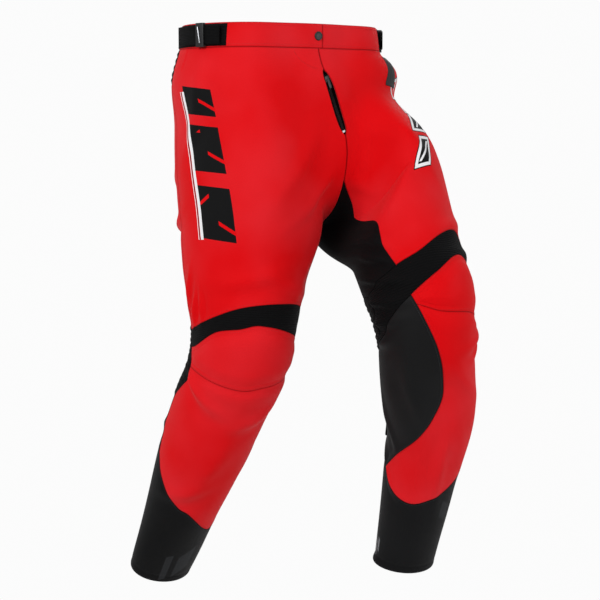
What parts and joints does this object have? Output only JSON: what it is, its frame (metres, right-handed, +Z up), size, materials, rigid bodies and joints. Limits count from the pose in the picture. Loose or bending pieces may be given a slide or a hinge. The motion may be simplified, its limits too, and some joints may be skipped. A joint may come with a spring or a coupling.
{
  "type": "off-road riding pants",
  "caption": "Padded off-road riding pants in worn shape, with shaped knees, a zip fly with a snap, side waist adjusters, stretch knee bands and leather inner calves.",
  "frame": {"origin": "middle of the waist opening, level with the top edge of the waistband", "axes": "+Z up out of the waist opening, -Y towards the front (the fly), -X towards the wearer's right leg"},
  "size_m": [0.4458, 0.5512, 0.9823],
  "materials": {
    "red_cloth": "soft satin polyester weave",
    "black_cloth": "matt stretch weave",
    "charcoal_cloth": "soft satin polyester weave",
    "black_leather": "smooth heat resistant leather",
    "grey_foam": "foam sheet in a cloth cover",
    "black_plastic": "moulded",
    "black_rubber": "soft moulded rubber",
    "plain_metal": "plated"
  },
  "bodies": {
    "pants": {"waistband_front_right": "red_cloth", "waistband_front_left": "red_cloth", "waistband_back": "red_cloth", "snap_tab": "red_cloth", "waist_elastic": "black_cloth", "waist_grip_strip": "black_rubber", "snap_stud": "plain_metal", "snap_rivet": "plain_metal", "zip_tape_right": "black_cloth", "zip_tape_left": "black_cloth", "zip_teeth_right": "black_plastic", "zip_teeth_left": "black_plastic", "zip_bottom_stop": "plain_metal", "fly_shield": "black_cloth", "fly_facing": "red_cloth", "hip_patch_left": "black_rubber", "adjuster_base_right": "black_cloth", "adjuster_loop_right": "black_plastic", "thigh_front_right": "red_cloth", "seat_panel_right": "red_cloth", "yoke_right": "black_cloth", "inner_thigh_right": "black_cloth", "hip_pad_right": "grey_foam", "knee_band_right": "black_cloth", "knee_back_right": "black_cloth", "adjuster_base_left": "black_cloth", "adjuster_loop_left": "black_plastic", "thigh_front_left": "red_cloth", "seat_panel_left": "red_cloth", "yoke_left": "black_cloth", "inner_thigh_left": "black_cloth", "hip_pad_left": "grey_foam", "knee_band_left": "black_cloth", "knee_back_left": "black_cloth"},
    "shin_right": {"knee_cup_right": "red_cloth", "knee_pad_right": "grey_foam", "shin_panel_right": "red_cloth", "calf_leather_right": "black_leather", "calf_back_right": "black_cloth", "cuff_right": "charcoal_cloth", "cuff_gripper_right": "black_rubber"},
    "shin_left": {"knee_cup_left": "red_cloth", "knee_pad_left": "grey_foam", "shin_panel_left": "red_cloth", "calf_leather_left": "black_leather", "calf_back_left": "black_cloth", "cuff_left": "charcoal_cloth", "cuff_gripper_left": "black_rubber"},
    "zip_slider_body": {"zip_slider": "black_plastic"},
    "zip_pull_body": {"zip_pull": "black_plastic"},
    "snap_body": {"snap_cap": "black_plastic", "snap_socket": "plain_metal"},
    "strap_right": {"adjuster_strap_right": "black_cloth"},
    "prong_right": {"adjuster_prong_right": "plain_metal"},
    "strap_left": {"adjuster_strap_left": "black_cloth"},
    "prong_left": {"adjuster_prong_left": "plain_metal"}
  },
  "joints": [
    {"name": "knee_right", "type": "hinge", "parent": "pants", "child": "shin_right", "pos_m": [-0.11184, -0.07769, -0.56042], "axis": [0.9923, 0.0628, -0.1064], "range_deg": [-25, 45], "deforming": ["knee_band_right", "knee_back_right"]},
    {"name": "knee_left", "type": "hinge", "parent": "pants", "child": "shin_left", "pos_m": [0.11077, -0.28633, -0.47709], "axis": [0.9625, -0.224, 0.1528], "range_deg": [-25, 33], "deforming": ["knee_band_left", "knee_back_left"]},
    {"name": "zip_slide", "type": "slide", "parent": "pants", "child": "zip_slider_body", "axis": [0.3205, -0.0954, -0.9424], "range_m": [0, 0.07]},
    {"name": "zip_pull_swing", "type": "hinge", "parent": "zip_slider_body", "child": "zip_pull_body", "pos_m": [0.011, -0.1333, -0.09065], "axis": [-0.9473, -0.0323, -0.3188], "range_deg": [0, 120]},
    {"name": "snap_pull", "type": "slide", "parent": "pants", "child": "snap_body", "axis": [0, -0.9996, -0.0285], "range_m": [0, 0.006]},
    {"name": "strap_slide_right", "type": "hinge", "parent": "pants", "child": "strap_right", "pos_m": [-0.03878, 0.00012, -0.02], "axis": [0, 0, -1], "range_deg": [0, 5]},
    {"name": "strap_slide_left", "type": "hinge", "parent": "pants", "child": "strap_left", "pos_m": [0.03882, 0.00025, -0.02], "axis": [0, 0, 1], "range_deg": [0, 5]},
    {"name": "prong_lift_right", "type": "hinge", "parent": "pants", "child": "prong_right", "pos_m": [-0.1801, -0.0444, -0.0335], "axis": [0.287, -0.9579, 0], "range_deg": [0, 70]},
    {"name": "prong_lift_left", "type": "hinge", "parent": "pants", "child": "prong_left", "pos_m": [0.1801, -0.0444, -0.0335], "axis": [0.287, 0.9579, 0], "range_deg": [0, 70]}
  ]
}
